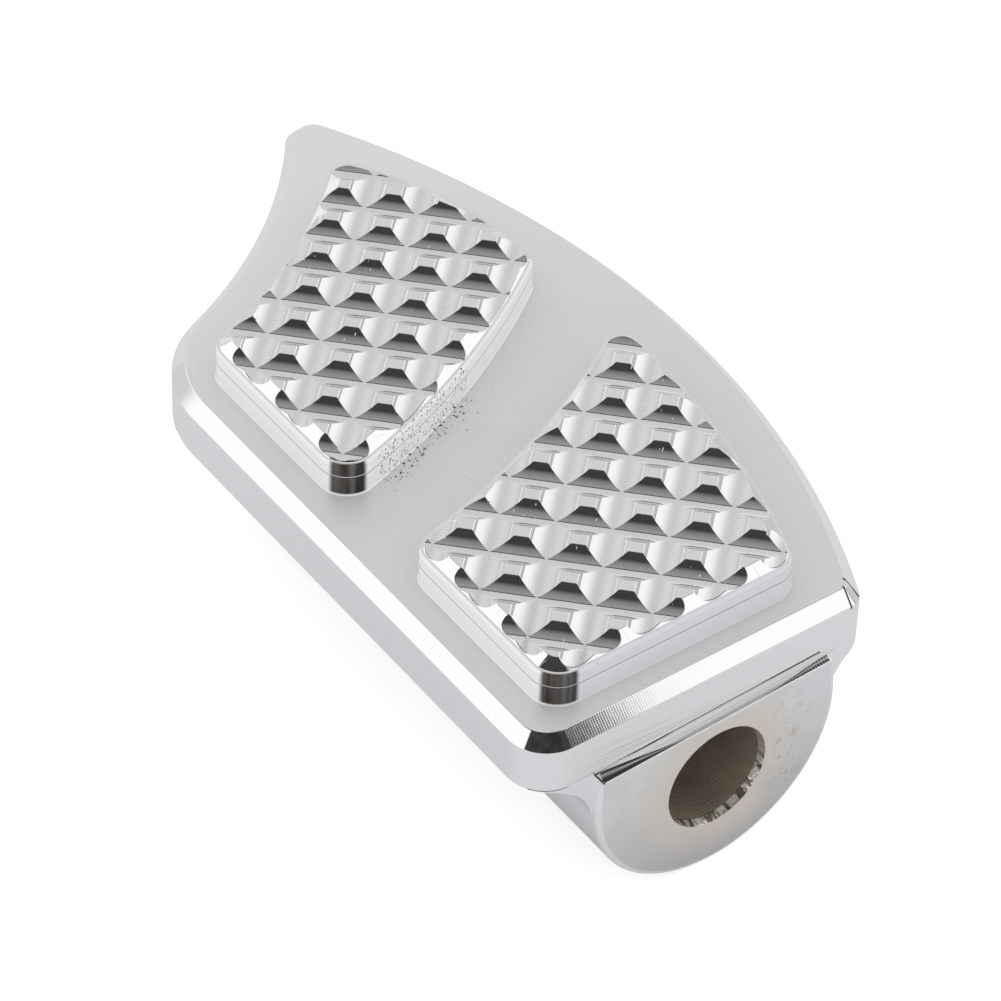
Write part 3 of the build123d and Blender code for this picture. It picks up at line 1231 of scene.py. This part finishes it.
def chrome_layers(at, wall, nick):
    """Pairs of share and colour, from the lowest layer to the highest."""
    cloud = at.place.noise(160.0, 4.0, 0.6)
    upright = joined(at.x, at.y, at.z * 0.08)
    lengthwise = joined(at.x * 0.25, at.y, at.z)
    scallop = (at.along.wave(FEED_PITCH) * 0.5 + 0.5) * 0.14
    # a darker, browner patch in upright streaks on the bevel round the front corner by the bored end
    corner_bevel_dark = at.away(*CORNER_BEVEL_DARK_CENTRE).ease(1.25, 0.8) * upright.noise(1.1, 2.0).ease(0.35, 0.6)
    chatter = lengthwise.noise(1.9, 2.0).ease(0.46, 0.56) * (at.z.ease(1.0, -1.5) * 0.8 + 0.12)
    return [
        (at.on(GROOVE_KIND) * scallop, (0.1, 0.1, 0.11)),
        (at.on(DECK_KIND), deck_colour_and_painted_light(at, cloud)),
        (at.on(FACE_KIND), face_colour_and_painted_shade(at, cloud)),
        (wall, wall_colour_and_painted_shade(at)),
        (wall * stop_lines(at), (0.12, 0.125, 0.14)),
        # painted dark reflection on the two front corners of the walls
        (wall * painted_corner_reflection(at), reflection_streak_colour(upright)),
        (at.on(BEVEL_KIND) * (corner_bevel_dark * 0.55), (0.22, 0.18, 0.15)),
        (at.on(ROOT_KIND), (0.76, 0.755, 0.75)),
        # painted shade in the hollow root above the nose
        (at.on(ROOT_KIND) * root_painted_shade(at), (0.02, 0.017, 0.016)),
        (at.on(PLATE_KIND) * end_lines(at), (0.22, 0.21, 0.20)),
        (scars(at), (0.04, 0.03, 0.025)),
        (nick, (0.95, 0.96, 0.97)),
        (at.on(MOUTH_KIND), (0.80, 0.76, 0.70)),
        (at.on(MOUTH_KIND) * chatter, (0.12, 0.10, 0.085)),
        (pits(at) * (at.on(DECK_KIND) + wall).held(), (0.06, 0.045, 0.035)),
    ]


def chrome_recipe(tree):
    """Metallic = 1 − the sum of what each layer takes; roughness = grain + satin × 0.4."""
    at = Surface(tree)
    wall = at.on(WALL_KIND) * at.z.ease(WALL_TOP + 0.02, WALL_TOP - 0.02)
    nick = at.on(GROOVE_KIND) * nicks(at)
    satin = at.on(DECK_KIND) + at.on(FACE_KIND) * 0.85
    loss = satin * 0.85 + wall * 0.92 + nick * 0.9
    loss += at.on(ROOT_KIND) * 0.85 + at.on(MOUTH_KIND) * 0.35
    colour = CHROME
    for share, paint in chrome_layers(at, wall, nick):
        colour = share.mix(colour, paint)
    return {
        "Base Color": colour,
        "Metallic": (1.0 - loss).held(),
        "Roughness": at.place.noise(300.0) * 0.05 + 0.03 + satin * 0.4,
        "Normal": bumped(tree, mark_height(at)),
    }


chrome = new_material("bright_chrome", chrome_recipe)

# %% [markdown]
# ## Bore
#
# Plating hardly reaches into a deep hole, so the bore is bare steel under a brown film,
# with the rings of the drill. It is a second material on the same piece, because inside
# the bore nothing of the chrome is left.

# %% Bore
def bore_recipe(tree):
    """Bare steel under a thin brown film; ring height = (sin a + sin b) × 0.004 mm."""
    over = tree.read("UVMap", "UV", uv_map="marks").split()[1]
    film = tree.read("TexCoord", "Object").noise(220.0, 5.0, 0.6)
    return {
        "Base Color": film.mix((0.74, 0.64, 0.52), (0.40, 0.34, 0.27)),
        "Metallic": 0.7,
        "Roughness": 0.26,
        "Normal": bumped(tree, (over.wave(0.31) + over.wave(0.12)) * 0.004),
    }


def choose(kinds):
    """Material number for each face: the bore is bare, the rest is plated."""
    return np.where(np.abs(kinds - BORE_KIND) < 0.5, 1, 0)


bore = new_material("bare_bore", bore_recipe)

# %% [markdown]
# ## Pieces
#
# Six closed pieces stand in place of the one block of the CAD, and each reaches a little
# into the next. A Boolean union could make one skin of them, but it would cut new points
# into rims that are exact now.

# %% Make the pieces
plate = make_piece(plate_parts, [chrome])
outer_pad, inner_pad = [make_piece(part, [chrome]) for part in pad_parts]
lug = make_piece(lug_parts, [chrome, bore], choose)
nose = make_piece(nose_parts, [chrome, bore], choose)
shoulder = make_piece(shoulder_parts, [chrome])
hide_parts("peg_body")
print("pieces", [piece.name for piece in (plate, outer_pad, inner_pad, lug, nose, shoulder)])

# %% [markdown]
# ## Studio
#
# The room is a picture of a light tent, written in the world. Lamps and cloth could stand
# there as objects, but they would fall within other views. Above the horizon every
# direction is pinned to a ceiling one unit up: ahead is how far from the camera it meets
# the ceiling, and aside how far to the right. The ceiling has a dark opening over the
# camera, a grey field, a dark seam and pale cloth beyond, with a bright panel on each side.
# Only mirrors see it. The camera sees plain white, and an even sky lights matt things.

# %% Light levels
def as_light(level):
    """A screen level from 0 to 255 as linear light."""
    share = level / 255
    return share / 12.92 if share <= 0.04045 else ((share + 0.055) / 1.055) ** 2.4


def grey(level):
    """A screen level as a neutral colour."""
    return (as_light(level),) * 3


def ramp(value, stops):
    """Screen levels at places along a value, straight between, held at both ends."""
    tree, low, high = value.tree, stops[0][0], stops[-1][0]
    inputs = {"Value": value, "From Min": low, "From Max": high}
    share = tree.read("MapRange", "Result", inputs)
    node = tree.put("ValToRGB", {"Fac": share})
    bar = node.color_ramp.elements
    while len(bar) < len(stops):
        bar.new(0.5)
    for element, (place, level) in zip(bar, stops):
        element.position = (place - low) / (high - low)
        element.color = grey(level) + (1,)
    return Wire(tree, node.outputs["Color"])


def lean(way, axis):
    """How far a direction leans to an axis: their dot product."""
    return way.tree.read("VectorMath", "Value", {0: way, 1: axis}, operation="DOT_PRODUCT")


def for_mirrors(tree):
    """1 for the rays that a mirror or a glass sends out, 0 for all others."""
    rays = [tree.read("LightPath", f"Is {name} Ray") for name in ("Glossy", "Transmission")]
    return (rays[0] + rays[1]).held()


print("a screen level of 208 is", round(as_light(208), 3), "of white")

# %% Tent
AHEAD = (-0.8059, 0.5920, 0.0)
ASIDE = (0.5733, 0.8194, 0.0)
TENT_TURN = math.radians(19.6)
TENT_COS, TENT_SIN = math.cos(TENT_TURN), math.sin(TENT_TURN)
CEILING = [(-4.0, 150), (-3.0, 100), (-2.4, 60), (0.0, 60), (0.1, 94), (0.19, 118), (0.28, 129)]
CEILING += [(0.42, 139), (0.62, 149), (0.83, 150), (0.87, 58), (0.955, 58), (1.0, 195)]
CEILING += [(1.13, 206), (2.0, 211)]
CLOTH = [(-5.0, 206), (-3.9, 209), (-3.0, 236), (-2.3, 246), (-1.85, 240), (-1.55, 206)]
CLOTH += [(-1.23, 204), (-1.0, 214), (-0.5, 219), (0.0, 206), (0.25, 209), (0.45, 228)]
CLOTH += [(0.65, 243), (0.9, 253), (5.0, 254)]


def tent_colour(way):
    """The tent in one direction: ceiling or cloth, then seam, skirt and left side over it.

    ahead and aside are the direction over its height. inward and across are the same two
    turned by the tent's angle: inward = ahead·cos + aside·sin, across = aside·cos − ahead·sin.
    """
    height = lean(way, (0.0, 0.0, 1.0))
    up = height.math("MAXIMUM", 0.02)
    ahead, aside = lean(way, AHEAD) / up, lean(way, ASIDE) / up
    inward = ahead * TENT_COS + aside * TENT_SIN
    across = aside * TENT_COS - ahead * TENT_SIN
    opening = (1.0 - inward.ease(0.016, 0.035)).math("MAXIMUM", 1.0 - across.ease(0.3, 0.55))
    inside = across.ease(-0.66, -0.62) * opening
    near = inside.mix(grey(254), ramp(inward, CEILING))
    tent = inward.ease(0.985, 1.0).mix(near, ramp(aside, CLOTH))
    right = aside.ease(0.6, 0.9)
    layers = [
        (height.between(0.362, 0.4, 0.004) * right, 165),
        (height.ease(0.366, 0.358) * right, 197),
        (height.ease(0.37, 0.2) * (inward + across).ease(0.0, -1.0), 205),
    ]
    for share, level in layers:
        tent = share.mix(tent, grey(level))
    return tent


def make_world():
    """Mirrored directions see the tent, the camera and matt surfaces see even white."""
    world = bpy.data.worlds.new("light_tent")
    tree = Tree(world)
    mirrored = for_mirrors(tree)
    tent = tent_colour(tree.read("TexCoord", "Generated"))
    inputs = {"Color": mirrored.mix((1, 1, 1), tent), "Strength": mirrored * 0.07 + 1.0}
    tree.fill(tree.nodes["Background"], inputs)
    scene.world = world
    print("world", len(tree.nodes), "nodes")


make_world()
scene.view_settings.view_transform = "Standard"

# %% [markdown]
# ## Floor
#
# The part lies on matt white paper, which takes its shadow. The paper also glows for the
# camera, as a picture editor's white background does, and a little for mirrors. A bright
# lamp would whiten it as well, but would light the peg from below.

# %% Floor
FLOOR_REACH = 1.2
FLOOR_CENTRE = -0.03
FLOOR_GAP = 0.00002


def paper_recipe(tree):
    """Matt white; glow = camera ray × 0.6 + mirrored ray × 0.05."""
    camera_ray = tree.read("LightPath", "Is Camera Ray")
    return {
        "Base Color": (0.67, 0.672, 0.68),
        "Roughness": 1.0,
        "Specular IOR Level": 0.0,
        "Emission Color": (1, 1, 1),
        "Emission Strength": camera_ray * 0.6 + for_mirrors(tree) * 0.05,
    }


def make_paper():
    """A round sheet in metres: place = centre + radius × (cos, sin), rings wider outwards."""
    ring = np.linspace(0, 1, 12)[None, :] ** 2 * FLOOR_REACH
    angle = np.linspace(0, 2 * math.pi, 65)[:-1, None]
    level = cad_box[0][2] - FLOOR_GAP
    place = spread(ring * np.cos(angle) + FLOOR_CENTRE, ring * np.sin(angle), level)[::-1]
    mesh = bpy.data.meshes.new("paper")
    faces = grid_cells(*place.shape[:2], True)
    mesh.from_pydata(place.reshape(-1, 3).tolist(), [], faces.tolist())
    mesh.materials.append(new_material("white_paper", paper_recipe))
    linked(mesh)
    print("paper", len(mesh.polygons), "triangles")


make_paper()

# %% [markdown]
# ## Finish
#
# The box of the bare CAD is printed once more. The box of the dressed part has to be
# that of the bare CAD.

# %% Finish
print("CAD box", cad_box)
